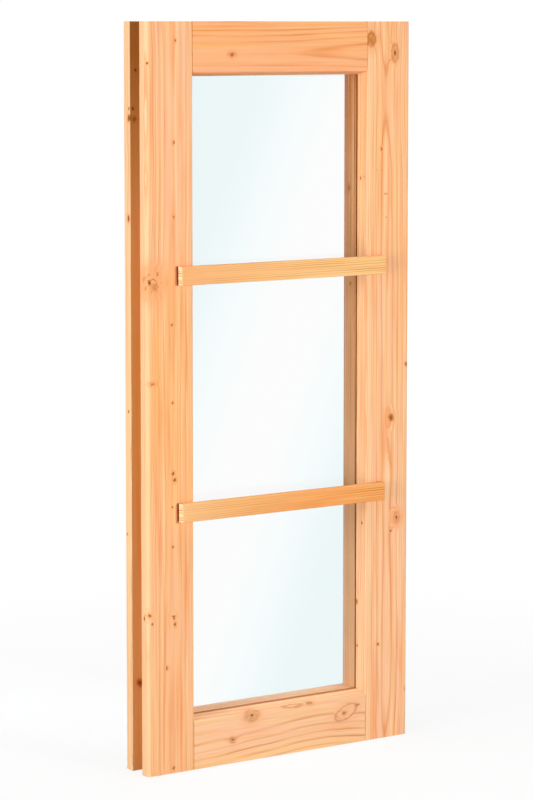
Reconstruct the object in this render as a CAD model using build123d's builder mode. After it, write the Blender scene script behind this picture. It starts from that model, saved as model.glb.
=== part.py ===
"""Fixed timber window: a grooved frame, one pane held by beads, and two planted glazing bars.

Width runs along X, the outside face looks along -Y and Z is up. The origin is the
middle of the bottom edge, half way through the depth of the frame. Millimetres.
"""

import os

from build123d import *

# Frame
frame_height = 1000
frame_width = 425
frame_depth = 57
stile_width = 72
top_rail_width = 72
bottom_rail_width = 71

# Rounded arrises of the frame
outer_front_radius = 5
outer_back_radius = 3
sight_radius = 2
rail_front_radius = 2

# Splay of the rails' outside reveals, as the rise from the front face to the glass
rail_splay = 4.5

# Wall groove in the outer edge of each stile
groove_front_lip = 16
groove_width = 24
groove_depth = 20
groove_arris = 0.8

# Glazing rebate and pane
glazing_lip = 23
rebate_width = 12
glass_thickness = 4
glass_edge_gap = 2
glass_arris = 0.4
bead_arris = 1.5

# Stub tenons that join the rails to the stiles
tenon_thickness = 16
tenon_height = 38
tenon_length = 24
tenon_clearance = 0.2
tenon_end_gap = 2

# Planted glazing bars, whose backs are relieved round the edges
bar_height = 25
bar_thickness = 12
bar_overlap = 24.5
bar_arris = 1.5
bar_relief = 3
bar_relief_width = 5
upper_bar_centre = 667
lower_bar_centre = 352

# Planes and lines that the pieces share
front = -frame_depth / 2
back = frame_depth / 2
glass_front = front + glazing_lip
glass_back = glass_front + glass_thickness
half_width = frame_width / 2
half_sight = half_width - stile_width
half_rebate = half_sight + rebate_width
sight_bottom = bottom_rail_width
sight_top = frame_height - top_rail_width
rebate_bottom = sight_bottom - rebate_width
rebate_top = sight_top + rebate_width
groove_front = front + groove_front_lip
groove_back = groove_front + groove_width
groove_floor = half_width - groove_depth

# How near to a plane or line an edge has to lie to be picked from it
pick_tolerance = 0.01

os.makedirs("parts", exist_ok=True)


def near(value, target):
    """True where a coordinate lies on a shared plane or line."""
    return abs(value - target) < pick_tolerance


def upright_edges(part, across, depth):
    """Edges along Z that pass through a point of the plan."""
    edges = part.edges().filter_by(Axis.Z)
    return edges.filter_by(lambda e: near(e.center().X, across) and near(e.center().Y, depth))


def level_edges(part, depth, height):
    """Edges along X that pass through a point of the side view."""
    edges = part.edges().filter_by(Axis.X)
    return edges.filter_by(lambda e: near(e.center().Y, depth) and near(e.center().Z, height))


# Right stile, upright: wall groove outside, glazing rebate inside, a blind mortise at each end
with BuildPart() as right_stile:
    with BuildSketch(Plane.XY):
        with BuildLine():
            Polyline(
                (half_sight, front),
                (half_width, front),
                (half_width, groove_front),
                (groove_floor, groove_front),
                (groove_floor, groove_back),
                (half_width, groove_back),
                (half_width, back),
                (half_rebate, back),
                (half_rebate, glass_front),
                (half_sight, glass_front),
                close=True,
            )
        make_face()
    extrude(amount=frame_height)
    fillet(upright_edges(right_stile, half_width, front), outer_front_radius)
    fillet(upright_edges(right_stile, half_sight, front), sight_radius)
    fillet(upright_edges(right_stile, half_width, back), outer_back_radius)
    fillet(upright_edges(right_stile, half_width, groove_front), groove_arris)
    fillet(upright_edges(right_stile, half_width, groove_back), groove_arris)
    with BuildSketch(Plane.YZ.offset(half_rebate)):
        for edge_height, side in ((rebate_bottom, Align.MAX), (rebate_top, Align.MIN)):
            with Locations((glass_front, edge_height)):
                Rectangle(tenon_thickness, tenon_height, align=(Align.MIN, side))
    extrude(amount=tenon_length + tenon_end_gap, mode=Mode.SUBTRACT)

with BuildPart() as left_stile:
    mirror(right_stile.part, about=Plane.YZ)


def build_rail(sight, rebate, outer):
    """Rail between the stiles: splayed outside reveal, glazing rebate, stub tenons at both ends."""
    outward = 1 if outer > sight else -1
    splayed = sight + outward * rail_splay
    tenon_middle = rebate + outward * tenon_height / 2
    with BuildPart() as rail:
        # Whole section, as long as the front shoulders
        with BuildSketch(Plane.YZ):
            with BuildLine():
                Polyline(
                    (front, outer),
                    (front, splayed),
                    (glass_front, sight),
                    (glass_front, rebate),
                    (back, rebate),
                    (back, outer),
                    close=True,
                )
            make_face()
        extrude(amount=half_sight, both=True)
        # Longer back shoulders, which fill the stiles' rebates
        with BuildSketch(Plane.YZ):
            with Locations(((glass_front + back) / 2, (rebate + outer) / 2)):
                Rectangle(back - glass_front, abs(outer - rebate))
        extrude(amount=half_rebate, both=True)
        # Stub tenons
        with BuildSketch(Plane.YZ):
            with Locations((glass_front + tenon_thickness / 2, tenon_middle)):
                Rectangle(tenon_thickness - 2 * tenon_clearance, tenon_height - 2 * tenon_clearance)
        extrude(amount=half_rebate + tenon_length, both=True)
        fillet(level_edges(rail, front, splayed), rail_front_radius)
    return rail.part


def build_bead(outline):
    """Glazing bead cut to a mitred outline, from the pane to the back of the frame."""
    with BuildPart() as bead:
        with BuildSketch(Plane.XZ.offset(-glass_back)):
            with BuildLine():
                Polyline(*outline, close=True)
            make_face()
        extrude(amount=glass_back - back)
        # The edge on the sight line is the shorter of the two long edges of the back
        back_edges = bead.faces().sort_by(Axis.Y)[-1].edges()
        fillet(back_edges.sort_by(Edge.length)[-2], bead_arris)
    return bead.part


def build_bar(centre):
    """Flat glazing bar, planted on the front of both stiles."""
    half_length = half_sight + bar_overlap
    slab_thickness = bar_thickness - bar_relief
    with BuildPart() as bar:
        with BuildSketch(Plane.YZ):
            with Locations((front - bar_relief - slab_thickness / 2, centre)):
                Rectangle(slab_thickness, bar_height)
        extrude(amount=half_length, both=True)
        # Raised middle of the back, which beds on the stiles
        with BuildSketch(Plane.YZ):
            with Locations((front - bar_relief / 2, centre)):
                Rectangle(bar_relief, bar_height - 2 * bar_relief_width)
        extrude(amount=half_length - bar_relief_width, both=True)
        fillet(bar.faces().sort_by(Axis.Y)[0].edges(), bar_arris)
    return bar.part


# Pane, held between the frame's lip and the beads with a gap all round its edges
with BuildPart() as glass_pane:
    with BuildSketch(Plane.XZ.offset(-glass_front)):
        with Locations((0, (rebate_bottom + rebate_top) / 2)):
            pane_width = 2 * (half_rebate - glass_edge_gap)
            pane_height = rebate_top - rebate_bottom - 2 * glass_edge_gap
            Rectangle(pane_width, pane_height)
    extrude(amount=-glass_thickness)
    chamfer(glass_pane.edges().filter_by(Axis.Y, reverse=True), glass_arris)

# Corners of the beads' mitres, on the sight line and in the rebate
sight_corners = {
    "bottom_left": (-half_sight, sight_bottom),
    "bottom_right": (half_sight, sight_bottom),
    "top_right": (half_sight, sight_top),
    "top_left": (-half_sight, sight_top),
}
rebate_corners = {
    "bottom_left": (-half_rebate, rebate_bottom),
    "bottom_right": (half_rebate, rebate_bottom),
    "top_right": (half_rebate, rebate_top),
    "top_left": (-half_rebate, rebate_top),
}
bead_ends = {
    "left_bead": ("bottom_left", "top_left"),
    "right_bead": ("bottom_right", "top_right"),
    "top_bead": ("top_left", "top_right"),
    "bottom_bead": ("bottom_left", "bottom_right"),
}

pieces = {
    "left_stile": left_stile.part,
    "right_stile": right_stile.part,
    "top_rail": build_rail(sight_top, rebate_top, frame_height),
    "bottom_rail": build_rail(sight_bottom, rebate_bottom, 0),
    "glass_pane": glass_pane.part,
    "upper_glazing_bar": build_bar(upper_bar_centre),
    "lower_glazing_bar": build_bar(lower_bar_centre),
}
for name, (start, end) in bead_ends.items():
    pieces[name] = build_bead(
        [sight_corners[start], rebate_corners[start], rebate_corners[end], sight_corners[end]]
    )

for name, piece in pieces.items():
    piece.label = name
    export_step(piece, f"parts/{name}.step")
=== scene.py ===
"""Fixed timber window: finishes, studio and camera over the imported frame."""

import logging
import math
from dataclasses import dataclass
from enum import Enum

import bpy
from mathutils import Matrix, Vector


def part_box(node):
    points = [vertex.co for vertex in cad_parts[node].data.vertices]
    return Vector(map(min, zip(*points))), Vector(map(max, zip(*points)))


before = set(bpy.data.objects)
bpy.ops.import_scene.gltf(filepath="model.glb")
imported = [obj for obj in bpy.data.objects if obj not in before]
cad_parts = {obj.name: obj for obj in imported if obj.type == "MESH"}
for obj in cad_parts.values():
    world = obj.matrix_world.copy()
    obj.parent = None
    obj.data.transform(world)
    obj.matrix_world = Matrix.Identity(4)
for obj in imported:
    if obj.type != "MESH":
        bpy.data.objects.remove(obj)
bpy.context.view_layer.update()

log = logging.getLogger("window")

MM = 0.001

Point = tuple[float, float, float]
Span = tuple[float, float]
Colour = tuple[float, float, float, float]
Socket = bpy.types.NodeSocket
Tree = bpy.types.NodeTree


def linear(hex_colour: str) -> Colour:
    """Turn an sRGB hex colour into linear light.

    Args:
        hex_colour: Colour as "#RRGGBB".

    Returns:
        Red, green, blue and an alpha of 1.
    """
    parts = [int(hex_colour[i : i + 2], 16) / 255 for i in (1, 3, 5)]
    red, green, blue = (p / 12.92 if p <= 0.04045 else ((p + 0.055) / 1.055) ** 2.4 for p in parts)
    return (red, green, blue, 1.0)


def add(tree: Tree, kind: str, feeds: dict[str | int, object] | None = None, **settings: object) -> Socket:
    """Add one node with its settings, and feed its inputs with values or other nodes' outputs.

    Args:
        tree: Node tree that takes the node.
        kind: Blender's name of the node type, without "ShaderNode".
        feeds: Value or output socket for each input, by the input's name or number.
        settings: Properties of the node itself, the "stops" of a colour ramp as places and colours, or the
            "points" of a curve.

    Returns:
        The node's first output that is in use.
    """
    made = tree.nodes.new("ShaderNode" + kind)
    stops, points = settings.pop("stops", ()), settings.pop("points", ())
    for name, value in settings.items():
        setattr(made, name, value)
    for number, (place, colour) in enumerate(stops):
        elements = made.color_ramp.elements
        element = elements[number] if number < 2 else elements.new(place)
        element.position, element.color = place, colour
    for number, place in enumerate(points):
        curve = made.mapping.curves[0].points
        if number < 2:
            curve[number].location = place
        else:
            curve.new(*place)
    if points:
        made.mapping.update()
    for key, value in (feeds or {}).items():
        by_name = [entry for entry in made.inputs if entry.enabled and entry.name == key]
        entry = by_name[0] if by_name else made.inputs[key]
        if isinstance(value, Socket):
            tree.links.new(value, entry)
        else:
            entry.default_value = value
    return next(output for output in made.outputs if output.enabled)


def lay_over(
    tree: Tree, colour: Socket | Colour, *layers: tuple[Socket, Socket | str], blend: str = "MIX"
) -> Socket:
    """Lay shades over a colour, one after another.

    Args:
        tree: Node tree that takes the nodes.
        colour: Colour to start from.
        layers: Share and shade of each layer, from the lowest up.
        blend: Blender's name of the way that the shades are laid.

    Returns:
        Socket with the colour.
    """
    for share, shade in layers:
        feeds = {"Factor": share, "A": colour, "B": shade if isinstance(shade, Socket) else linear(shade)}
        colour = add(tree, "Mix", feeds, data_type="RGBA", blend_type=blend)
    return colour


def line_at(tree: Tree, value: Socket, place: float, width: float, strength: float = 1.0) -> Socket:
    """Draw a thin line where a value passes a place.

    Args:
        tree: Node tree that takes the nodes.
        value: Socket with the value.
        place: Value at the middle of the line.
        width: Half width of the line, in the value's own unit.
        strength: Strength at the middle of the line.

    Returns:
        Socket with the strength, which falls to 0 at the line's sides.
    """
    off_line = add(tree, "Math", {0: value, 1: place}, operation="SUBTRACT")
    beside = add(tree, "Math", {0: off_line}, operation="ABSOLUTE")
    return add(tree, "MapRange", {"Value": beside, "From Max": width, "To Min": strength, "To Max": 0.0})


def new_material(name: str) -> tuple[bpy.types.Material, Tree]:
    """Start a node material.

    Args:
        name: Name of the material.

    Returns:
        The material and its empty node tree.
    """
    material = bpy.data.materials.new(name)
    material.use_nodes = True
    material.node_tree.nodes.clear()
    return material, material.node_tree


def show(tree: Tree, shader: Socket, output: str = "ShaderNodeOutputMaterial") -> None:
    """Join a shader to the surface of a new output node.

    Args:
        tree: Node tree of a material or a world.
        shader: Output of the shader.
        output: Blender's name of the output node.
    """
    tree.links.new(shader, tree.nodes.new(output).inputs["Surface"])


def seen_directly(tree: Tree) -> Socket:
    """Work out where a ray comes from the camera, from gloss or through glass.

    Args:
        tree: Node tree of a material or a world.

    Returns:
        Socket with 1 for such rays, and 0 for the rays that light the object.
    """
    rays = add(tree, "LightPath").node.outputs
    first = add(tree, "Math", {0: rays["Is Camera Ray"], 1: rays["Is Glossy Ray"]}, operation="MAXIMUM")
    return add(tree, "Math", {0: first, 1: rays["Is Transmission Ray"]}, operation="MAXIMUM")


def clear_selection() -> None:
    """Deselect everything, so that an operator acts only on what is added next."""
    bpy.ops.object.select_all(action="DESELECT")


class Grain(Enum):
    """Way that a board's grain runs, as the axes across, through and along the board."""

    UPRIGHT = ("X", "Y", "Z")
    LEVEL = ("Z", "Y", "X")

    def turned(self, place: Point) -> Point:
        """Turn a place in the window's frame into across, through and along."""
        return tuple(place["XYZ".index(axis)] for axis in self.value)


@dataclass(frozen=True)
class Knot:
    """Branch that a face of a board cuts through.

    Attributes:
        centre: Place in the window's frame, in millimetres.
        radius: Half width of the knot, in millimetres.
        stretch: Length along the grain over width.
        swirl: How far the growth rings bend round the knot, in millimetres.
        reach: Knot radii over which they bend.
        strength: How fully the knot covers the wood, from 0 to 1.
        core: How dark the heart of the knot is, from 0 to 1.
        heart: Knot radii that the dark heart takes up.
        collar: Knot radii at which a thin brown ring goes round the knot, or 0 for none.
        curl: How dark the curled grain in a burr is, from 0 to 1.
        turn: Degrees that its length is turned away from the grain.
    """

    centre: Point
    radius: float
    stretch: float = 1.25
    swirl: float = 0.6
    reach: float = 3.5
    strength: float = 0.9
    core: float = 0.9
    heart: float = 1.1
    collar: float = 0.0
    curl: float = 0.0
    turn: float = 0.0


# Brown ring round a knot: half width in millimetres, and strength
COLLAR_WIDTH = 1.6
COLLAR_STRENGTH = 0.5

# Width over which the edge of the sapwood is ragged, in millimetres
SAP_EDGE = 5.0


@dataclass(frozen=True)
class WoodTone:
    """Colours of one timber, as sRGB hex values."""

    early: str = "#FBC596"
    heart: str = "#F0AE76"
    blush: str = "#F9BA92"
    amber: str = "#F9B66C"
    russet: str = "#F6A066"
    sap: str = "#FBCF9E"
    late: str = "#E27A2C"
    end_grain: str = "#DDA56C"
    knot_heart: str = "#7A360A"
    knot_flesh: str = "#CF8038"
    knot_rim: str = "#B2661E"


@dataclass(frozen=True)
class PithMark:
    """Point that a board's pith passes through, in millimetres along, across and through the board."""

    along: float
    across: float
    through: float


def pith_marks(*marks: Point) -> tuple[PithMark, ...]:
    """Points that a board's pith passes through, in order along the board."""
    return tuple(PithMark(*mark) for mark in marks)


@dataclass(frozen=True)
class Groove:
    """Machined groove, with painted shade on its walls and floor.

    Attributes:
        middle: Middle of the groove through the board, in millimetres.
        width: Width of the groove, in millimetres.
        floor: Distance of the groove's floor from the window's middle, in millimetres.
        margin: Room for rounding at its walls and floor, in millimetres.
        tones: Colour of the painted shade over most of the groove, and at its head.
        share: Strength of the painted shade over most of the groove, and at its head.
        head: Heights over which it grows towards the head, in millimetres.
    """

    middle: float = -0.5
    width: float = 24.0
    floor: float = 192.5
    margin: float = 0.2
    tones: tuple[str, str] = ("#DC9C3C", "#B87018")
    share: Span = (0.5, 0.9)
    head: Span = (700.0, 960.0)


@dataclass(frozen=True)
class PaintedShade:
    """Strip of painted shade where a board beds another piece.

    Attributes:
        low: Lowest corner of the strip in the window's frame, in millimetres.
        high: Highest corner.
        tone: Colour of the strip.
    """

    low: Point
    high: Point
    tone: str


@dataclass(frozen=True)
class Softwood:
    """Planed, unfinished larch: growth rings around a pith, drawn through the solid of the board.

    Attributes:
        name: Name of the material.
        grain: Way that the grain runs.
        pith: Points that the pith passes through, in order along the board.
        ring: Width of a growth ring, in millimetres.
        phase: Shift of the rings outwards, in millimetres.
        wander: How far the rings stray from circles, in millimetres.
        wobble: How far short waves move the lines sideways, in millimetres.
        uneven: How unevenly the years are spaced, in rings.
        onset: Share of a year's growth after which the dark line sets in.
        dark_year: Distance from the pith of one year with a darker line, in millimetres, and its strength.
        sap: Places across the board, in millimetres, with the share of pale sapwood at each; at the stiles'
            arrises it is partly painted highlight.
        pale: Places along the board between which it goes from pale and plain to its full colour and lines.
        contrast: Strength of the late wood, from 0 to 1.
        faintest: Share of that strength in the year with the faintest line.
        warmth: Places along the board, in millimetres, with the share of amber colour at each.
        tone: Colours of the timber.
        knots: Knots that show on the board.
        groove: Groove in the board, if it has one.
        stains: Strips of painted shade where the board beds other pieces.
    """

    name: str
    grain: Grain
    pith: tuple[PithMark, ...]
    ring: float = 4.8
    phase: float = 0.0
    wander: float = 3.0
    wobble: float = 0.8
    uneven: float = 2.2
    onset: float = 0.45
    dark_year: Span | None = None
    sap: tuple[Span, ...] = ()
    pale: Span | None = None
    contrast: float = 0.5
    faintest: float = 0.05
    warmth: tuple[Span, ...] = ((0.0, 0.3), (1000.0, 0.3))
    tone: WoodTone = WoodTone()
    knots: tuple[Knot, ...] = ()
    groove: Groove | None = None
    stains: tuple[PaintedShade, ...] = ()

    def material(self) -> bpy.types.Material:
        """Build the material.

        Returns:
            A material that reads Object coordinates.
        """
        material, tree = new_material(self.name)
        board = self.board_space(tree)
        radius = self.ring_radius(tree, board)
        if self.knots:
            push, *shares = self.knot_fields(tree, board)
            radius = add(tree, "Math", {0: radius, 1: push}, operation="SUBTRACT")
        season, late, year_tint = self.growth(tree, board, radius)
        # Real fibres are finer than a pixel, so they are drawn 1.4 mm wide to show
        fibres = self.drawn_out_noise(tree, board, width=1.4, length=70.0, detail=2.0)
        early = self.early_colour(tree, board, season, year_tint)
        colour = self.ringed_colour(tree, early, season, late, fibres)
        if self.groove:
            colour = self.groove_colour(tree, board, colour)
        if self.knots:
            colour = self.knot_colour(tree, board, colour, shares)
        # Painted shade in the slots and gaps where the board beds other pieces
        for shade_strip in self.stains:
            colour = self.stained_colour(tree, board, colour, shade_strip)
        show(tree, self.surface(tree, colour, late, fibres))
        return material

    def board_space(self, tree: Tree) -> Socket:
        """Turn Object coordinates to the board's own directions.

        Args:
            tree: Node tree of the material.

        Returns:
            Socket with the millimetres across, through and along the board.
        """
        place = add(tree, "TexCoord").node.outputs["Object"]
        scaled = add(tree, "VectorMath", {0: place, "Scale": 1 / MM}, operation="SCALE")
        axes = add(tree, "SeparateXYZ", {0: scaled}).node.outputs
        across, through, along = (axes[name] for name in self.grain.value)
        return add(tree, "CombineXYZ", {0: across, 1: through, 2: along})

    def drawn_out_noise(
        self, tree: Tree, board: Socket, width: float, length: float, detail: float, coloured: bool = False
    ) -> Socket:
        """Noise drawn out along the grain.

        Args:
            tree: Node tree of the material.
            board: Socket with the board's millimetres.
            width: Size of a feature across the grain, in millimetres.
            length: Size of a feature along the grain, in millimetres.
            detail: Octaves of finer noise.
            coloured: Three values instead of one.

        Returns:
            Socket with the noise.
        """
        scale = (1 / width, 1 / width, 1 / length)
        fitted = add(tree, "VectorMath", {0: board, 1: scale}, operation="MULTIPLY")
        noise = add(tree, "TexNoise", {"Vector": fitted, "Scale": 1.0, "Detail": detail})
        return noise.node.outputs["Color"] if coloured else noise

    def stray(self, tree: Tree, board: Socket, noise: Socket, swing: Point) -> Socket:
        """Move places by a coloured noise.

        Args:
            tree: Node tree of the material.
            board: Socket with the board's millimetres.
            noise: Socket with the coloured noise.
            swing: Largest move across, through and along, in millimetres.

        Returns:
            Socket with the moved places.
        """
        centred = add(tree, "VectorMath", {0: noise, 1: (0.5, 0.5, 0.5)}, operation="SUBTRACT")
        doubled = tuple(2 * move for move in swing)
        return add(tree, "VectorMath", {0: centred, 1: doubled, 2: board}, operation="MULTIPLY_ADD")

    def knot_fields(self, tree: Tree, board: Socket) -> tuple[Socket, ...]:
        """Work out where the knots are and how they push the rings aside.

        Args:
            tree: Node tree of the material.
            board: Socket with the board's millimetres.

        Returns:
            Sockets with the push in millimetres, the distance to the nearest knot in knot radii, the share
            that knots cover, the share of dark heart, and the share of brown collar and curled grain.
        """
        ragged = self.drawn_out_noise(tree, board, width=4.0, length=6.0, detail=3.0, coloured=True)
        place = self.stray(tree, board, ragged, swing=(2.2, 2.2, 3.0))
        curls = self.curled_lines(tree, board)
        fields = []
        for knot in self.knots:
            distance = self.knot_distance(tree, place, knot)
            # Knot radii between which each share falls away, and its size at the heart
            bend, cover, core, burr = (
                add(
                    tree,
                    "MapRange",
                    {"Value": distance, "From Min": near, "From Max": far, "To Min": full, "To Max": 0.0},
                    interpolation_type="SMOOTHERSTEP",
                )
                for near, far, full in (
                    (0.3, knot.reach, knot.swirl),
                    (0.7, 1.25, knot.strength),
                    (0.1, knot.heart, knot.core),
                    (0.7, 1.1, knot.curl),
                )
            )
            brown = add(tree, "Math", {0: burr, 1: curls}, operation="MULTIPLY")
            if knot.collar:
                ring = line_at(tree, distance, knot.collar, COLLAR_WIDTH / knot.radius, COLLAR_STRENGTH)
                brown = add(tree, "Math", {0: brown, 1: ring}, operation="MAXIMUM")
            fields.append((bend, distance, cover, core, brown))
        merged = fields[0]
        ways = ("ADD", "MINIMUM", "MAXIMUM", "MAXIMUM", "MAXIMUM")
        for field_set in fields[1:]:
            merged = tuple(
                add(tree, "Math", {0: one, 1: other}, operation=way)
                for one, other, way in zip(merged, field_set, ways)
            )
        return merged

    def knot_distance(self, tree: Tree, place: Socket, knot: Knot) -> Socket:
        """Distance from the heart of a knot.

        Args:
            tree: Node tree of the material.
            place: Socket with the board's millimetres.
            knot: Knot to measure from.

        Returns:
            Socket with the distance, in knot radii.
        """
        across, through, along = centre = self.grain.turned(knot.centre)
        if knot.turn:
            turned = {"Vector": place, "Center": centre, "Angle": math.radians(knot.turn)}
            place = add(tree, "VectorRotate", turned, rotation_type="Y_AXIS")
        scale = (1 / knot.radius, 1 / knot.radius, 1 / (knot.radius * knot.stretch))
        shift = (-across * scale[0], -through * scale[1], -along * scale[2])
        local = add(tree, "VectorMath", {0: place, 1: scale, 2: shift}, operation="MULTIPLY_ADD")
        return add(tree, "VectorMath", {0: local}, operation="LENGTH")

    def curled_lines(self, tree: Tree, board: Socket) -> Socket:
        """Thin curled lines, as the grain of a burr shows them."""
        bumps = self.drawn_out_noise(tree, board, width=9.0, length=8.0, detail=0.5)
        return line_at(tree, bumps, place=0.5, width=0.05)

    def follow(self, tree: Tree, along: Socket, marks: list[Span]) -> Socket:
        """Value at a place on the board, on a smooth curve through marks.

        Args:
            tree: Node tree of the material.
            along: Socket with the millimetres along or across the board.
            marks: Places with the value at each, in order.

        Returns:
            Socket with the value.
        """
        values = [value for _, value in marks]
        margin = 0.1 * (max(values) - min(values)) + 0.01
        low, high = min(values) - margin, max(values) + margin
        start, end = marks[0][0], marks[-1][0]
        share = add(tree, "MapRange", {"Value": along, "From Min": start, "From Max": end})
        points = [((place - start) / (end - start), (value - low) / (high - low)) for place, value in marks]
        bent = add(tree, "FloatCurve", {"Value": share}, points=[points[0], points[-1], *points[1:-1]])
        return add(tree, "MapRange", {"Value": bent, "To Min": low, "To Max": high})

    def ring_radius(self, tree: Tree, board: Socket) -> Socket:
        """Distance from the pith.

        Args:
            tree: Node tree of the material.
            board: Socket with the board's millimetres.

        Returns:
            Socket with the distance, in millimetres.
        """
        slow = self.drawn_out_noise(tree, board, width=45.0, length=260.0, detail=3.0, coloured=True)
        quick = self.drawn_out_noise(tree, board, width=20.0, length=70.0, detail=1.0, coloured=True)
        strayed = self.stray(tree, board, slow, swing=(self.wander, self.wander, 0.0))
        wavy = self.stray(tree, strayed, quick, swing=(self.wobble, 0.0, 0.0))
        across, through, along = add(tree, "SeparateXYZ", {0: wavy}).node.outputs
        pith_across = self.follow(tree, along, [(mark.along, mark.across) for mark in self.pith])
        pith_through = self.follow(tree, along, [(mark.along, mark.through) for mark in self.pith])
        sideways = add(tree, "Math", {0: across, 1: pith_across}, operation="SUBTRACT")
        inwards = add(tree, "Math", {0: through, 1: pith_through}, operation="SUBTRACT")
        spoke = add(tree, "CombineXYZ", {0: sideways, 1: inwards})
        return add(tree, "VectorMath", {0: spoke}, operation="LENGTH")

    def growth(self, tree: Tree, board: Socket, radius: Socket) -> tuple[Socket, Socket, Socket]:
        """Draw the growth rings.

        Args:
            tree: Node tree of the material.
            board: Socket with the board's millimetres.
            radius: Socket with the distance from the pith.

        Returns:
            Sockets with the season from spring to autumn, the share of dark late wood and each year's tint,
            all from 0 to 1.
        """
        shifted = add(tree, "Math", {0: radius, 1: self.phase}, operation="SUBTRACT")
        weather = add(tree, "TexNoise", {"W": shifted, "Scale": 1 / (4 * self.ring)}, noise_dimensions="1D")
        count = add(tree, "Math", {0: shifted, 1: self.ring}, operation="DIVIDE")
        uneven = add(tree, "Math", {0: weather, 1: self.uneven, 2: count}, operation="MULTIPLY_ADD")
        share = add(tree, "Math", {0: uneven}, operation="FRACT")
        year = add(tree, "Math", {0: uneven}, operation="FLOOR")
        black, white = linear("#000000"), linear("#FFFFFF")
        # Shares of the year over which the wood deepens, and over which its dark line is drawn
        deepening = [(0.1, black), (1.0, black), (0.7, white), (0.88, white)]
        darkening = [(self.onset, black), (1.0, black), (0.82, white), (0.9, white)]
        rise, line = (add(tree, "ValToRGB", {0: share}, stops=stops) for stops in (deepening, darkening))
        harvest = add(tree, "TexWhiteNoise", {"W": year}, noise_dimensions="1D")
        patches = self.drawn_out_noise(tree, board, width=14.0, length=160.0, detail=1.0)
        wear = {"Value": patches, "From Min": 0.35, "From Max": 0.62, "To Min": 0.2, "To Max": 1.0}
        worn = add(tree, "MapRange", wear)
        if self.pale:
            fullness = add(tree, "MapRange", {"Value": self.colour_share(tree, board), "To Min": 0.3})
            worn = add(tree, "Math", {0: worn, 1: fullness}, operation="MULTIPLY")
        warmth = add(tree, "MapRange", {"Value": harvest, "To Min": 0.3, "To Max": 0.9})
        season = add(tree, "Math", {0: rise, 1: warmth}, operation="MULTIPLY")
        weakest = self.faintest * self.contrast
        strength = add(tree, "MapRange", {"Value": harvest, "To Min": weakest, "To Max": self.contrast})
        late = add(tree, "Math", {0: line, 1: strength}, operation="MULTIPLY")
        broken = add(tree, "Math", {0: late, 1: worn}, operation="MULTIPLY")
        # Faint rings that a dry spell leaves within a year
        spells = add(tree, "TexNoise", {"W": uneven, "Scale": 4.3, "Detail": 1.0}, noise_dimensions="1D")
        hints = {"Value": spells, "From Min": 0.52, "From Max": 0.78, "To Max": 0.2 * self.contrast}
        faint = add(tree, "MapRange", hints)
        dark = add(tree, "Math", {0: broken, 1: faint}, operation="MAXIMUM")
        if self.dark_year:
            place, strength = self.dark_year
            lone_line = line_at(tree, radius, place, width=0.4, strength=strength)
            dark = add(tree, "Math", {0: dark, 1: lone_line}, operation="MAXIMUM")
        tint = add(tree, "TexNoise", {"W": uneven, "Scale": 0.7, "Detail": 1.0}, noise_dimensions="1D")
        return season, dark, add(tree, "MapRange", {"Value": tint, "From Min": 0.35, "From Max": 0.65})

    def colour_share(self, tree: Tree, board: Socket) -> Socket:
        """Share of the board's full colour, which grows along it from its pale end."""
        along = add(tree, "SeparateXYZ", {0: board}).node.outputs[2]
        return add(tree, "MapRange", {"Value": along, "From Min": self.pale[0], "From Max": self.pale[1]})

    def early_colour(self, tree: Tree, board: Socket, season: Socket, year_tint: Socket) -> Socket:
        """Mix the colours of the wood between the dark lines.

        Args:
            tree: Node tree of the material.
            board: Socket with the board's millimetres.
            season: Socket with the season.
            year_tint: Socket with each year's tint.

        Returns:
            Socket with the colour.
        """
        tone = self.tone
        along = add(tree, "SeparateXYZ", {0: board}).node.outputs[2]
        bands = self.drawn_out_noise(tree, board, width=9.0, length=170.0, detail=2.0, coloured=True)
        streaks = self.drawn_out_noise(tree, board, width=2.6, length=230.0, detail=1.0, coloured=True)
        red_band, pink_band, pale_band = add(tree, "SeparateColor", {0: bands}).node.outputs
        amber_streak, pink_streak, pale_streak = add(tree, "SeparateColor", {0: streaks}).node.outputs
        warm = self.follow(tree, along, list(self.warmth))
        turns = {"Value": amber_streak, "From Min": 0.4, "From Max": 0.65, "To Min": -0.3, "To Max": 0.4}
        amber_turn = add(tree, "MapRange", turns)
        amber = add(tree, "Math", {0: warm, 1: amber_turn}, operation="ADD", use_clamp=True)
        # Noise values between which each band or streak comes in, and its full share
        reddish, blush, pinker, pale = (
            add(tree, "MapRange", {"Value": noise, "From Min": start, "From Max": full, "To Max": share})
            for noise, start, full, share in (
                (red_band, 0.5, 0.68, 0.75),
                (pink_band, 0.4, 0.62, 0.65),
                (pink_streak, 0.46, 0.66, 0.5),
                (pale_streak, 0.5, 0.7, 0.7),
            )
        )
        both = add(tree, "Math", {0: year_tint, 1: 0.2, 2: blush}, operation="MULTIPLY_ADD")
        rosy = add(tree, "Math", {0: both, 1: pinker}, operation="ADD", use_clamp=True)
        if self.sap:
            across = add(tree, "SeparateXYZ", {0: board}).node.outputs[0]
            ragged = add(tree, "Math", {0: pale_band, 1: SAP_EDGE, 2: across}, operation="MULTIPLY_ADD")
            centred = add(tree, "Math", {0: ragged, 1: SAP_EDGE / 2}, operation="SUBTRACT")
            sappy = self.follow(tree, centred, list(self.sap))
            pale = add(tree, "Math", {0: pale, 1: sappy}, operation="MAXIMUM")
        if self.pale:
            paleness = add(tree, "Math", {0: 1.0, 1: self.colour_share(tree, board)}, operation="SUBTRACT")
            pale = add(tree, "Math", {0: pale, 1: paleness}, operation="MAXIMUM")
        return lay_over(
            tree,
            linear(tone.early),
            (season, tone.heart),
            (rosy, tone.blush),
            (amber, tone.amber),
            (reddish, tone.russet),
            (pale, tone.sap),
        )

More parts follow.
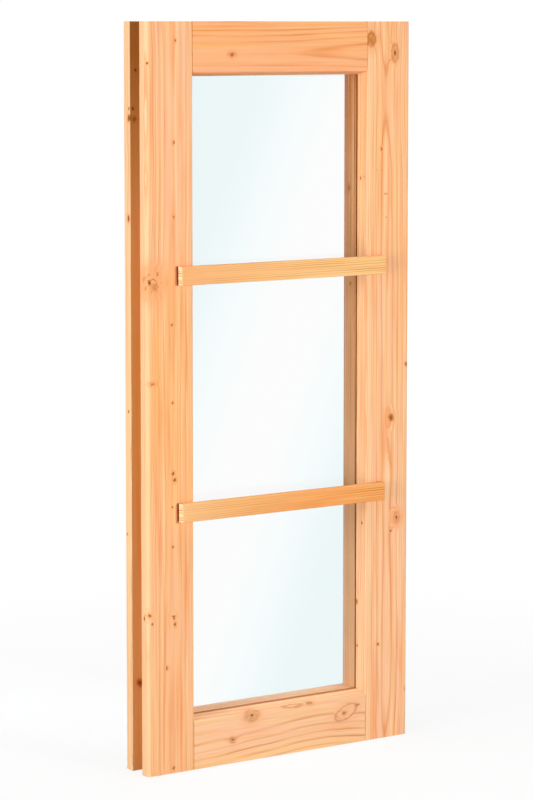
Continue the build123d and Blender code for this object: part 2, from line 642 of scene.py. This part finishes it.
    def ringed_colour(
        self, tree: Tree, early: Socket, season: Socket, late: Socket, fibres: Socket
    ) -> Socket:
        """Draw the late wood, the end grain and the fibres over the early wood.

        Args:
            tree: Node tree of the material.
            early: Socket with the colour of early wood.
            season: Socket with the season.
            late: Socket with the share of late wood.
            fibres: Socket with the fibre streaks.

        Returns:
            Socket with the colour.
        """
        tone = self.tone
        normal = add(tree, "NewGeometry").node.outputs["Normal"]
        facing = add(tree, "SeparateXYZ", {0: normal}).node.outputs[self.grain.value[2]]
        end_on = add(tree, "Math", {0: facing}, operation="ABSOLUTE")
        end_share = add(tree, "MapRange", {"Value": end_on, "From Min": 0.5, "From Max": 0.9, "To Max": 0.8})
        ended = lay_over(tree, early, (end_share, tone.end_grain))
        autumn = add(tree, "MapRange", {"Value": season, "From Min": 0.35, "From Max": 0.6})
        end_lines = add(tree, "Math", {0: autumn, 1: end_share}, operation="MULTIPLY")
        drawn = add(tree, "Math", {0: late, 1: end_lines}, operation="MAXIMUM")
        ringed = lay_over(tree, ended, (drawn, tone.late))
        depths = {"Value": fibres, "From Min": 0.3, "From Max": 0.7, "To Min": 0.95, "To Max": 1.04}
        depth = add(tree, "MapRange", depths)
        return add(tree, "HueSaturation", {"Value": depth, "Color": ringed})

    def knot_colour(self, tree: Tree, board: Socket, clear: Socket, shares: list[Socket]) -> Socket:
        """Lay the knots over the clear wood.

        Args:
            tree: Node tree of the material.
            board: Socket with the board's millimetres.
            clear: Socket with the colour of clear wood.
            shares: Sockets with the distance to the nearest knot, the share that knots cover, the share of
                dark heart, and the share of brown collar and curled grain.

        Returns:
            Socket with the colour.
        """
        reach, cover, core, brown = shares
        tone = self.tone
        fade = {"Value": reach, "From Min": 0.8, "From Max": 2.6, "To Min": 0.6, "To Max": 0.0}
        halo = add(tree, "MapRange", fade, interpolation_type="SMOOTHSTEP")
        mottle = self.drawn_out_noise(tree, board, width=3.2, length=5.5, detail=2.0, coloured=True)
        dark_fleck, pale_fleck, _ = add(tree, "SeparateColor", {0: mottle}).node.outputs
        # Values between which the rim and each fleck come in, and the full share
        rim, fleck, pale = (
            add(tree, "MapRange", {"Value": value, "From Min": start, "From Max": full, "To Max": share})
            for value, start, full, share in (
                (reach, 0.45, 0.95, 1.0),
                (dark_fleck, 0.44, 0.6, 1.0),
                (pale_fleck, 0.52, 0.64, 0.6),
            )
        )
        bark = add(tree, "Math", {0: rim, 1: fleck}, operation="MULTIPLY")
        knot = lay_over(tree, linear(tone.knot_flesh), (pale, tone.heart), (bark, tone.knot_rim))
        # A knot only darkens, so that it doesn't shine in the groove
        covered = lay_over(tree, clear, (halo, tone.russet), (cover, knot), blend="DARKEN")
        return lay_over(tree, covered, (brown, tone.knot_rim), (core, tone.knot_heart))

    def stained_colour(self, tree: Tree, board: Socket, colour: Socket, shade_strip: PaintedShade) -> Socket:
        """Paint shade on a strip where the board beds another piece.

        Args:
            tree: Node tree of the material.
            board: Socket with the board's millimetres.
            colour: Socket with the colour of the board.
            shade_strip: Strip of painted shade.

        Returns:
            Socket with the colour.
        """
        axes = add(tree, "SeparateXYZ", {0: board}).node.outputs
        share = 1.0
        for axis, low, high in zip(axes, self.grain.turned(shade_strip.low), self.grain.turned(shade_strip.high)):
            strip = {0: axis, 1: (low + high) / 2, 2: (high - low) / 2}
            within = add(tree, "Math", strip, operation="COMPARE")
            share = add(tree, "Math", {0: within, 1: share}, operation="MULTIPLY")
        return lay_over(tree, colour, (share, shade_strip.tone))

    def groove_colour(self, tree: Tree, board: Socket, colour: Socket) -> Socket:
        """Paint shade on the walls and the floor of the groove.

        Args:
            tree: Node tree of the material.
            board: Socket with the board's millimetres.
            colour: Socket with the colour of the board.

        Returns:
            Socket with the colour.
        """
        groove = self.groove
        across, through, along = add(tree, "SeparateXYZ", {0: board}).node.outputs
        off_middle = add(tree, "Math", {0: through, 1: groove.middle}, operation="SUBTRACT")
        reach = groove.width / 2 + groove.margin
        between = add(tree, "Math", {0: off_middle, 1: 0.0, 2: reach}, operation="COMPARE")
        outwards = add(tree, "Math", {0: across}, operation="ABSOLUTE")
        floor = groove.floor - groove.margin
        beyond = add(tree, "Math", {0: outwards, 1: floor}, operation="GREATER_THAN")
        inside = add(tree, "Math", {0: between, 1: beyond}, operation="MULTIPLY")
        # Painted shade, darker towards the groove's head
        up = add(tree, "MapRange", {"Value": along, "From Min": groove.head[0], "From Max": groove.head[1]})
        groove_shade = lay_over(tree, linear(groove.tones[0]), (up, groove.tones[1]))
        strength = add(tree, "MapRange", {"Value": up, "To Min": groove.share[0], "To Max": groove.share[1]})
        share = add(tree, "Math", {0: inside, 1: strength}, operation="MULTIPLY")
        return lay_over(tree, colour, (share, groove_shade))

    def surface(self, tree: Tree, colour: Socket, late: Socket, fibres: Socket) -> Socket:
        """Give the wood its sheen and its raised late wood.

        Args:
            tree: Node tree of the material.
            colour: Socket with the colour.
            late: Socket with the share of late wood.
            fibres: Socket with the fibre streaks.

        Returns:
            Socket with the shader.
        """
        relief = add(tree, "Math", {0: fibres, 1: 0.5, 2: late}, operation="MULTIPLY_ADD")
        bump = add(tree, "Bump", {"Strength": 0.2, "Distance": 0.05 * MM, "Height": relief})
        rough = add(tree, "MapRange", {"Value": late, "To Min": 0.7, "To Max": 0.6})
        sheen = {"Base Color": colour, "Roughness": rough, "Specular IOR Level": 0.12, "Normal": bump}
        return add(tree, "BsdfPrincipled", sheen)


@dataclass(frozen=True)
class FloatGlass:
    """Clear float glass with a pale blue cast, flat and polished on both sides.

    Attributes:
        name: Name of the material.
        tint: Colour that is left of white light after both faces.
        ior: Index of refraction.
    """

    name: str = "clear_float_glass"
    tint: str = "#EBF6F7"
    ior: float = 1.52

    def material(self) -> bpy.types.Material:
        """Build the material, with lamp rays let through to what lies behind the pane.

        Returns:
            A material with no pattern.
        """
        material, tree = new_material(self.name)
        tint = linear(self.tint)
        polish = {"Base Color": tint, "Roughness": 0.0, "IOR": self.ior, "Transmission Weight": 1.0}
        glass = add(tree, "BsdfPrincipled", polish)
        one_face = tuple(math.sqrt(part) for part in tint)
        clear = add(tree, "BsdfTransparent", {"Color": one_face})
        lamp_ray = add(tree, "LightPath").node.outputs["Is Shadow Ray"]
        show(tree, add(tree, "MixShader", {0: lamp_ray, 1: glass, 2: clear}))
        return material


def dress_nodes(finishes: dict[str, Softwood | FloatGlass]) -> None:
    """Put a finish on each node's own material slots.

    Args:
        finishes: Finish for each node, by name.
    """
    for name, finish in finishes.items():
        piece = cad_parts[name]
        material = finish.material()
        for slot in piece.material_slots:
            slot.material = material
        log.info("%s takes %s", name, material.name)


# Planes that the knots are placed on, in millimetres
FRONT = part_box("left_stile")[0][1] / MM
LEFT_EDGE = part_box("left_stile")[0][0] / MM
RIGHT_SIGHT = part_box("right_stile")[0][0] / MM
GROOVE_WALL = Groove.middle + Groove.width / 2

# Painted shade in the slot round the edge of the pane: how far it shows past the pane's faces and where it
# lies through the frame, in millimetres, and its colours
EDGE_SHADE_OVERLAP = 0.4
EDGE_SHADE_SPAN = (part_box("glass_pane")[0][1] / MM - EDGE_SHADE_OVERLAP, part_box("glass_pane")[1][1] / MM + EDGE_SHADE_OVERLAP)
EDGE_SHADE_TONE = "#D86418"
SILL_EDGE_SHADE_TONE = "#BC7C4C"

# Painted shade in the narrow gap behind the ends of the glazing bars, and how far it reaches past a bar's
# end, behind the bar, and through the front face, in millimetres
GAP_SHADE_TONE = "#BC5E18"
GAP_EDGE = 1.2
GAP_DEPTH = 7.0
GAP_REACH = 1.0
BARS = ("upper_glazing_bar", "lower_glazing_bar")


def pane_edge_shade(low: Span, high: Span, lap: float = 0.0, tone: str = EDGE_SHADE_TONE) -> PaintedShade:
    """Line of painted shade along the pane's edge between two corners across and up the frame, with its lap
    on the reveal.
    """
    return PaintedShade((low[0], EDGE_SHADE_SPAN[0] - lap, low[1]), (high[0], EDGE_SHADE_SPAN[1], high[1]), tone)


def bar_gap_shades(side: int) -> tuple[PaintedShade, ...]:
    """Painted shade in the gaps behind the ends of the glazing bars on one stile.

    Args:
        side: Left stile for -1, right stile for 1.

    Returns:
        A strip for each bar.
    """
    gaps = []
    for low, high in (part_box(bar) for bar in BARS):
        ends = sorted((side * (high[0] / MM + GAP_EDGE), side * (high[0] / MM - GAP_DEPTH)))
        foot = (ends[0], FRONT - GAP_REACH, low[2] / MM)
        head = (ends[1], FRONT + GAP_REACH, high[2] / MM)
        gaps.append(PaintedShade(foot, head, GAP_SHADE_TONE))
    return tuple(gaps)


def front_knot(x: float, z: float, radius: float, **shape: float) -> Knot:
    """Knot on the front face of the frame, at a place across and up, in millimetres."""
    return Knot((x, FRONT, z), radius, **shape)


def plain_knots(*knots: Point) -> tuple[Knot, ...]:
    """Small plain knots on the front face, each with its places across and up and its radius."""
    return tuple(front_knot(*knot) for knot in knots)


@dataclass
class TimberFrame:
    """Stiles and rails, each cut from a board of its own.

    Attributes:
        left_stile: Finish of the left stile, with its burr and its pale outer arris, partly pale sapwood and
            partly painted highlight.
        right_stile: Finish of the right stile, with its long arches.
        top_rail: Finish of the top rail.
        bottom_rail: Finish of the bottom rail, with its wavy lines and its lens.
    """

    left_stile: Softwood = Softwood(
        "larch_left_stile",
        Grain.UPRIGHT,
        pith=pith_marks(
            (0, -172, 5.2), (210, -174, 5.0), (400, -173, 5.5),
            (650, -173, 4.8), (842, -171, 5.3), (1000, -173, 5.0),
        ),
        ring=3.0,
        phase=0.3,
        wander=0.9,
        wobble=2.2,
        uneven=1.8,
        onset=0.5,
        dark_year=(36.0, 0.4),
        contrast=0.62,
        # Pale sapwood at the outer edge and arris, partly painted highlight and sheen there
        sap=((-213.0, 0.9), (-208.5, 0.5), (-204.0, 0.1), (-199.0, 0.0), (-151.0, 0.0), (-142.0, 0.4)),
        warmth=((0.0, 0.35), (250.0, 0.3), (480.0, 0.75), (640.0, 0.55), (760.0, 0.1), (1000.0, 0.15)),
        groove=Groove(),
        stains=(pane_edge_shade((-153.0, 0.0), (-138.0, 1000.0)), *bar_gap_shades(-1)),
        knots=(
            *plain_knots((-167, 975, 1.6), (-210, 945, 1.8), (-170, 842, 1.5), (-170, 745, 1.3)),
            *plain_knots((-208, 660, 2.1), (-174, 602, 1.6), (-173, 499, 1.3), (-174, 360, 1.4)),
            *plain_knots((-173, 306, 1.5), (-173, 7, 1.6)),
            front_knot(-203, 660, 14.0, stretch=1.2, swirl=5.0, reach=2.0, strength=0.0, core=0.0, curl=0.9),
            front_knot(-201, 654, 7.0, stretch=0.7, swirl=0.0, strength=0.55, core=0.0),
            front_knot(-203, 526, 4.6, stretch=0.6, swirl=1.5, strength=0.4, core=0.5, heart=0.5, curl=0.6),
            front_knot(-172, 405, 1.9, swirl=2.5),
            front_knot(-170, 396, 2.3, swirl=2.5),
            front_knot(-172, 213, 3.4, stretch=0.3, swirl=0.0),
            front_knot(-172, 210, 1.6, swirl=3.0, reach=8.0),
            front_knot(-170, 202, 1.9, stretch=1.7),
            front_knot(-209, 218, 2.2, swirl=5.0, reach=6.0, strength=0.6),
            front_knot(-205, 206, 1.7, strength=0.6),
            front_knot(-183, 144, 1.8, stretch=1.7),
            Knot((LEFT_EDGE, -20, 213), 1.9),
            Knot((LEFT_EDGE, 14, 874), 3.4, stretch=1.5),
            Knot((LEFT_EDGE, 14, 886), 1.4),
            Knot((LEFT_EDGE, 16, 742), 2.8, stretch=1.5),
            Knot((LEFT_EDGE, 18, 485), 1.5),
            Knot((LEFT_EDGE, 23, 320), 1.6),
            Knot((-204, GROOVE_WALL, 936), 2.2),
            Knot((-208, GROOVE_WALL, 886), 2.2),
            Knot((-206, GROOVE_WALL, 872), 4.5, strength=0.5, core=0.5),
            Knot((-201, GROOVE_WALL, 119), 5.0),
        ),
    )
    right_stile: Softwood = Softwood(
        "larch_right_stile",
        Grain.UPRIGHT,
        pith=pith_marks(
            (0, 175, 4.6), (12, 175, 4.4), (40, 176, 3.9), (100, 177, 3.5), (171, 177, 3.5),
            (295, 176, 4.05), (400, 176, 3.4), (764, 174, 3.25), (820, 173, 3.7), (864, 172, 4.5),
            (897, 172, 4.75), (930, 172, 4.5), (955, 172, 3.8), (1000, 172, 3.0),
        ),
        ring=2.6,
        phase=2.16,
        wander=0.25,
        wobble=1.8,
        uneven=1.4,
        onset=0.5,
        dark_year=(33.0, 0.6),
        contrast=0.75,
        # Pale sapwood along the inner arris, partly painted highlight where the rounded arris catches the
        # light
        sap=(
            (138.0, 0.0), (141.5, 0.2), (144.0, 0.95), (147.0, 0.9),
            (151.0, 0.1), (203.0, 0.0), (212.0, 0.4),
        ),
        warmth=((0.0, 0.0), (250.0, 0.05), (480.0, 0.3), (700.0, 0.45), (1000.0, 0.4)),
        tone=WoodTone(early="#FDCFA2", heart="#F5B680", blush="#FBC29C", amber="#FAB970"),
        groove=Groove(),
        stains=(pane_edge_shade((138.0, 0.0), (153.0, 1000.0)), *bar_gap_shades(1)),
        knots=(
            *plain_knots((165, 826, 1.7), (183, 293, 1.6), (162, 134, 1.9)),
            front_knot(147, 976, 8.5, stretch=1.3, swirl=1.5, reach=2.5, core=0.15),
            front_knot(
                187, 957, 4.4, stretch=2.0, swirl=2.0, reach=3.0, strength=0.45, heart=0.6, collar=1.3
            ),
            front_knot(157, 797, 1.0, stretch=0.6),
            front_knot(166, 797, 1.0, stretch=0.6),
            front_knot(171, 764, 1.0, stretch=0.6, strength=0.5, core=0.5),
            front_knot(174, 764, 1.0, stretch=0.6, strength=0.5, core=0.5),
            front_knot(173, 732, 1.4, stretch=0.4, strength=0.5, core=0.5),
            front_knot(209, 526, 2.6, strength=0.8),
            front_knot(183, 452, 4.4, stretch=1.4, swirl=1.5, reach=4.0, core=0.75),
            front_knot(180, 404, 2.2, stretch=10.0, turn=9.0, swirl=0.0, strength=0.3, core=0.0),
            front_knot(193, 311, 6.5, stretch=1.4, swirl=5.5, reach=2.6, strength=0.35, heart=0.4, curl=0.3),
            front_knot(211, 65, 2.2, stretch=1.6),
            Knot((RIGHT_SIGHT, -13, 786), 1.9),
            Knot((RIGHT_SIGHT, -22, 787), 1.1),
            Knot((RIGHT_SIGHT, -19, 307), 1.6),
            Knot((RIGHT_SIGHT, -8, 194), 1.6, stretch=2.0),
            Knot((RIGHT_SIGHT, -9, 132), 1.3),
        ),
    )
    top_rail: Softwood = Softwood(
        "larch_top_rail",
        Grain.LEVEL,
        pith=pith_marks((-160, 957.5, 6.6), (0, 957.5, 6.1), (42, 958, 5.6), (160, 959, 3.2)),
        ring=4.2,
        phase=30.5,
        wander=0.5,
        uneven=0.0,
        onset=0.6,
        contrast=0.9,
        faintest=0.4,
        sap=((926.0, 0.6), (945.0, 0.5), (962.0, 0.2), (975.0, 0.0), (1001.0, 0.0)),
        warmth=((-160.0, 0.3), (160.0, 0.3)),
        tone=WoodTone(
            early="#FBBE84",
            heart="#F8B278",
            blush="#F9AE80",
            amber="#F9B060",
            russet="#F9A266",
            sap="#FBB688",
            late="#E07A2A",
            knot_flesh="#DE8248",
            knot_heart="#A84A1C",
        ),
        stains=(pane_edge_shade((-200.0, 924.0), (200.0, 941.0)),),
        knots=(front_knot(-79, 956, 3.4, stretch=1.1, swirl=0.7, reach=6.0, strength=0.8, heart=0.9),),
    )
    bottom_rail: Softwood = Softwood(
        "larch_bottom_rail",
        Grain.LEVEL,
        pith=pith_marks((-160, 53, 3), (-20, 62.5, 3), (63, 68.5, 3), (100, 66, 3), (160, 59, 3)),
        ring=8.0,
        phase=31.3,
        wander=1.4,
        wobble=1.8,
        uneven=0.0,
        onset=0.62,
        sap=((-2.0, 0.8), (8.0, 0.6), (22.0, 0.1), (30.0, 0.0), (72.0, 0.0)),
        contrast=0.8,
        faintest=0.5,
        warmth=((-160.0, 0.1), (160.0, 0.1)),
        tone=WoodTone(
            early="#FCCDA2",
            heart="#F9C090",
            blush="#FBC4A0",
            amber="#FAC38A",
            russet="#F6B284",
            sap="#FCCB90",
            late="#D67E38",
            knot_flesh="#D4935A",
            knot_heart="#9C5A2A",
        ),
        # Painted shade at the pane's foot, lapped 3 mm onto the sill
        stains=(pane_edge_shade((-200.0, 58.0), (200.0, 75.0), lap=3.0, tone=SILL_EDGE_SHADE_TONE),),
        knots=(
            front_knot(-48, 62, 10.0, stretch=1.2, swirl=1.5, reach=2.0, strength=0.55, heart=0.3),
            front_knot(-58, 69, 1.8, strength=0.5, core=0.5),
            front_knot(-79, 32, 4.8, stretch=1.2, swirl=1.5, strength=0.6, heart=0.5),
            front_knot(47, 68, 4.6, stretch=1.3, swirl=1.5, strength=0.8, heart=0.8),
            front_knot(14, 68, 3.0, stretch=5.0, turn=7.0, swirl=0.0, strength=0.0, core=0.0, collar=1.2),
            front_knot(105, 44, 4.0, swirl=8.0, reach=4.0, strength=0.6, heart=0.8),
            front_knot(108, 45, 9.0, stretch=2.1, turn=-23.0, swirl=0.0, strength=0.0, core=0.0, collar=1.0),
            front_knot(128, 53, 2.2, stretch=1.6, strength=0.6, core=0.6),
        ),
    )

    def dress(self) -> None:
        """Give each member its own board's finish, the fields being named for the nodes."""
        dress_nodes(vars(self))


@dataclass
class GlazingBars:
    """Two flat bars of close, straight grain.

    Attributes:
        upper_tone: Colours of the upper bar's timber.
        lower_tone: Colours of the lower bar's timber.
        ends: Places along a bar between which its grain is set out, in millimetres.
        pith: At each end, the pith's height over the middle of the bar and its place through the frame.
        pale: Places along a bar between which it goes from pale and plain to its full colour and lines.
        warmth: Share of amber colour.
        relief: Height of the raised middle of a bar's back, in millimetres.
        margin: Room for rounding at the faces, in millimetres.
    """

    upper_tone: WoodTone = WoodTone(
        early="#FED494",
        heart="#FAC27E",
        blush="#FDCC90",
        amber="#FDCB80",
        russet="#FCC480",
        sap="#F6B478",
        late="#C4701E",
        end_grain="#FFE6BC",
    )
    lower_tone: WoodTone = WoodTone(
        early="#FBB26A",
        heart="#F29C50",
        blush="#F7A462",
        amber="#F6A652",
        russet="#F0964A",
        sap="#F8C284",
        late="#B65E14",
        end_grain="#FFE6BC",
    )
    ends: Span = (-170.0, 170.0)
    pith: tuple[Span, Span] = ((160.0, -24.0), (162.0, -20.0))
    pale: Span = (-160.0, 60.0)
    warmth: float = 0.3
    relief: float = 2.9
    margin: float = 0.1

    def dress(self) -> None:
        """Give each bar its finish."""
        boards = {}
        for name, tone in zip(BARS, (self.upper_tone, self.lower_tone)):
            low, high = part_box(name)
            middle = (low[2] + high[2]) / 2 / MM
            marks = zip(self.ends, self.pith)
            boards[name] = Softwood(
                f"larch_{name}",
                Grain.LEVEL,
                pith=tuple(PithMark(end, middle + rise, through) for end, (rise, through) in marks),
                ring=2.9,
                wander=0.8,
                uneven=0.8,
                pale=self.pale,
                contrast=1.0,
                faintest=0.35,
                warmth=tuple((end, self.warmth) for end in self.ends),
                tone=tone,
                stains=(self.bed(low, high),),
            )
        dress_nodes(boards)

    def bed(self, low: list[float], high: list[float]) -> PaintedShade:
        """Painted shade on the raised middle of a bar's back, in the gap against the stile, between the
        corners of its box, in metres.
        """
        corner = (low[0] / MM, high[1] / MM - self.relief, low[2] / MM)
        return PaintedShade(corner, tuple(place / MM + self.margin for place in high), GAP_SHADE_TONE)


@dataclass
class GlazingBeads:
    """Mitred beads that hold the pane against the frame's lip.

    Attributes:
        tone: Colours of the beads' timber, darkened as painted shade for their place behind the pane.
        sill_tone: Colours of the bottom bead, with lighter painted shade.
        pith: At each end, how far the pith lies past the bead's low side, and its place through the frame.
        fade: How far below its foot an upright bead would be at its palest, in millimetres; the upright beads
            darken towards the top as painted shade.
        warmth: Share of amber colour.
        right_knots: Knots that show on the right bead.
    """

    # Colours darkened as painted shade behind the pane
    tone: WoodTone = WoodTone(
        early="#E68A48",
        heart="#CA6828",
        blush="#DC7E4A",
        amber="#DA7E32",
        russet="#C86628",
        sap="#FFC294",
        late="#884012",
    )
    sill_tone: WoodTone = WoodTone(
        early="#F6B486",
        heart="#E09662",
        blush="#F0AC8E",
        amber="#EAAA6C",
        russet="#E09262",
        late="#B06C3A",
    )
    pith: tuple[Span, Span] = ((20.0, 88.0), (26.0, 94.0))
    fade: float = 250.0
    warmth: float = 0.2
    right_knots: tuple[Knot, ...] = (
        Knot((RIGHT_SIGHT, 16, 771), 2.2, stretch=2.0),
        Knot((RIGHT_SIGHT, 12, 638), 1.9),
    )

    def dress(self) -> None:
        """Give each bead its finish."""
        boards = {}
        for name in ("left_bead", "right_bead", "top_bead", "bottom_bead"):
            low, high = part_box(name)
            upright = high[2] - low[2] > high[0] - low[0]
            along = [corner[2 if upright else 0] / MM for corner in (low, high)]
            side = (low[0] if upright else low[2]) / MM
            marks = zip(along, self.pith)
            boards[name] = Softwood(
                f"larch_{name}",
                Grain.UPRIGHT if upright else Grain.LEVEL,
                pith=tuple(PithMark(end, side + past, through) for end, (past, through) in marks),
                ring=5.0,
                wander=2.0,
                contrast=1.0,
                # Painted shade: the upright beads darken towards the top
                pale=(along[0] - self.fade, along[1]) if upright else None,
                warmth=tuple((end, self.warmth) for end in along),
                tone=self.sill_tone if name == "bottom_bead" else self.tone,
                knots=self.right_knots if name == "right_bead" else (),
                stains=(pane_edge_shade((low[0] / MM, low[2] / MM), (high[0] / MM, high[2] / MM)),),
            )
        dress_nodes(boards)


@dataclass
class Pane:
    """Single pane between the frame's lip and the beads.

    Attributes:
        finish: Glass of the pane.
    """

    finish: FloatGlass = FloatGlass()

    def dress(self) -> None:
        """Give the pane its glass."""
        dress_nodes({"glass_pane": self.finish})


@dataclass(frozen=True)
class Lamp:
    """Soft lamp that looks at the window.

    Attributes:
        name: Name of the lamp.
        place: Place of the lamp, in metres.
        target: Place that it looks at, in metres.
        size: Width and height of the lamp, in metres.
        watts: Power of the lamp.
    """

    name: str
    place: Point
    target: Point
    size: Span
    watts: float

    def hang(self) -> None:
        """Hang the lamp, hidden from the camera and from rays through glass."""
        clear_selection()
        bpy.ops.object.light_add(type="AREA", location=self.place)
        lamp = bpy.context.object
        lamp.name = self.name
        lamp.data.energy = self.watts
        lamp.data.shape = "RECTANGLE"
        lamp.data.size, lamp.data.size_y = self.size
        aim = [there - here for there, here in zip(self.target, self.place)]
        rise = math.atan2(aim[2], math.hypot(aim[0], aim[1]))
        lamp.rotation_euler = (math.pi / 2 + rise, 0.0, -math.atan2(aim[0], aim[1]))
        lamp.visible_camera = False
        lamp.visible_transmission = False


@dataclass
class Studio:
    """White studio: floor, world, soft lamps and the card that the glass mirrors.

    Attributes:
        floor_size: Side of the floor, in metres.
        shadow_share: Share of the floor's look that takes shadows near the window.
        fade: Distances over which the floor turns to plain white, in metres.
        floor_greys: Grey of the floor to the light that it throws back, and as it is seen.
        ambient: Light from all round.
        lamps: Soft lamps.
        card_place: Middle of the card, in metres.
        card_size: Width and height of the card, in metres.
        band_slope: Direction across the bright band on the card.
        band_shift: Distance of the band's middle from the window's foot, against that direction, in metres.
        band_edges: Distances from its middle over which the band fades, in metres.
        band_glow: Brightness of the band's middle.
        band_tint: Colour of the band's middle.
    """

    floor_size: float = 30.0
    shadow_share: float = 0.15
    fade: Span = (0.35, 1.3)
    floor_greys: Span = (0.5, 0.9)
    ambient: float = 0.1
    lamps: tuple[Lamp, ...] = (
        Lamp("key_lamp", (1.2, -4.0, 1.0), (0.0, 0.0, 0.45), (0.5, 0.5), 102.0),
        Lamp("side_lamp", (-2.4, -0.6, 0.7), (0.0, 0.0, 0.55), (0.9, 1.5), 48.0),
        Lamp("top_lamp", (0.0, 0.0, 4.5), (0.0, -0.1, 0.0), (2.0, 2.0), 110.0),
    )
    card_place: Point = (-0.006, -0.017, 0.5)
    card_size: Span = (0.266, 0.85)
    band_slope: Point = (0.93, 0.0, -0.375)
    band_shift: float = 0.185
    band_edges: Span = (0.03, 0.2)
    band_glow: float = 3.9
    band_tint: str = "#FFC0B8"

    def build(self) -> None:
        """Lay the floor, fill the world, hang the lamps and stand the card."""
        self.lay_floor()
        self.fill_world()
        for lamp in self.lamps:
            lamp.hang()
        self.stand_card()

    def lay_floor(self) -> None:
        """White floor with the window's faint shadow, which turns to plain white further out."""
        clear_selection()
        bpy.ops.mesh.primitive_plane_add(size=self.floor_size, location=(0, 0, 0))
        floor = bpy.context.object
        floor.name = "studio_floor"
        bpy.ops.object.transform_apply(location=True, rotation=True, scale=True)
        material, tree = new_material("matt_white_floor")
        place = add(tree, "TexCoord").node.outputs["Object"]
        distance = add(tree, "VectorMath", {0: place}, operation="LENGTH")
        near, far = self.fade
        clearing = {"Value": distance, "From Min": near, "From Max": far, "To Min": 1 - self.shadow_share}
        plain = add(tree, "MapRange", clearing, interpolation_type="SMOOTHSTEP")
        # Plain white behind the pane, so that the glass shows no edge
        straight = add(tree, "LightPath").node.outputs["Is Camera Ray"]
        white_share = add(tree, "MapRange", {"Value": straight, "To Min": 1.0, "To Max": plain})
        share = add(tree, "Math", {0: seen_directly(tree), 1: white_share}, operation="MULTIPLY")
        # Grey to the light that it throws back, so that the window keeps its own shadows
        thrown, seen = self.floor_greys
        tone = add(tree, "MapRange", {"Value": seen_directly(tree), "To Min": thrown, "To Max": seen})
        matt = add(tree, "BsdfDiffuse", {"Color": tone})
        white = add(tree, "Emission", {"Color": linear("#FFFFFF"), "Strength": 1.0})
        show(tree, add(tree, "MixShader", {0: share, 1: matt, 2: white}))
        floor.data.materials.append(material)

    def fill_world(self) -> None:
        """White to the camera, to gloss and through glass, and plain soft light elsewhere."""
        world = bpy.data.worlds.new("studio")
        bpy.context.scene.world = world
        world.use_nodes = True
        tree = world.node_tree
        tree.nodes.clear()
        level = add(tree, "MapRange", {"Value": seen_directly(tree), "To Min": self.ambient, "To Max": 1.0})
        light = add(tree, "Background", {"Color": linear("#FFFFFF"), "Strength": level})
        show(tree, light, "ShaderNodeOutputWorld")

    def stand_card(self) -> None:
        """Soft bright card before the pane, seen only as the pale slanting band that the glass mirrors."""
        clear_selection()
        bpy.ops.mesh.primitive_plane_add(size=1.0, location=self.card_place, rotation=(math.pi / 2, 0, 0))
        card = bpy.context.object
        card.name = "studio_card"
        card.scale = (*self.card_size, 1.0)
        bpy.ops.object.transform_apply(location=True, rotation=True, scale=True)
        material, tree = new_material("lit_paper_card")
        place = add(tree, "TexCoord").node.outputs["Object"]
        slant = add(tree, "VectorMath", {0: place, 1: self.band_slope}, operation="DOT_PRODUCT")
        off_centre = add(tree, "Math", {0: slant, 1: self.band_shift}, operation="ADD")
        distance = add(tree, "Math", {0: off_centre}, operation="ABSOLUTE")
        near, far = self.band_edges
        fading = {"Value": distance, "From Min": near, "From Max": far, "To Min": 1.0, "To Max": 0.0}
        band = add(tree, "MapRange", fading, interpolation_type="SMOOTHSTEP")
        glow = add(tree, "MapRange", {"Value": band, "To Min": 1.0, "To Max": self.band_glow})
        warmth = lay_over(tree, linear("#FFFFFF"), (band, self.band_tint))
        lit = add(tree, "Emission", {"Color": warmth, "Strength": glow})
        mirrored = add(tree, "LightPath").node.outputs["Is Singular Ray"]
        show(tree, add(tree, "MixShader", {0: mirrored, 1: add(tree, "BsdfTransparent"), 2: lit}))
        card.data.materials.append(material)
        card.visible_camera = False
        card.visible_diffuse = False
        card.visible_transmission = False
        card.visible_shadow = False


@dataclass
class PhotoCamera:
    """Camera at the photograph's viewing angle, fitted to the edges seen there.

    Attributes:
        place: Place of the camera, in metres.
        turn: Degrees that it looks to the right of straight ahead.
        tilt: Degrees that it looks down.
        lens: Focal length for a 36 mm picture height.
        shift: Shift of the picture across and up, as a share of its height.
    """

    place: Point = (-2.0959, -3.1645, 0.9953)
    turn: float = 33.335
    tilt: float = 5.67
    lens: float = 126.5
    shift: Span = (0.0068, -0.12)

    def build(self) -> None:
        """Set up the camera."""
        clear_selection()
        bpy.ops.object.camera_add(
            location=self.place, rotation=(math.radians(90 - self.tilt), 0.0, -math.radians(self.turn))
        )
        camera = bpy.context.object
        camera.name = "photo_camera"
        camera.data.sensor_fit = "VERTICAL"
        camera.data.sensor_height = 36.0
        camera.data.lens = self.lens
        camera.data.shift_x, camera.data.shift_y = self.shift
        camera.data.clip_end = 200.0
        bpy.context.scene.camera = camera


def main() -> None:
    """Dress the window, light it and set the camera."""
    logging.basicConfig(level=logging.INFO, format="%(name)s: %(message)s")
    TimberFrame().dress()
    GlazingBars().dress()
    GlazingBeads().dress()
    Pane().dress()
    Studio().build()
    PhotoCamera().build()
    bpy.context.scene.view_settings.view_transform = "Standard"


if __name__ == "__main__":
    main()
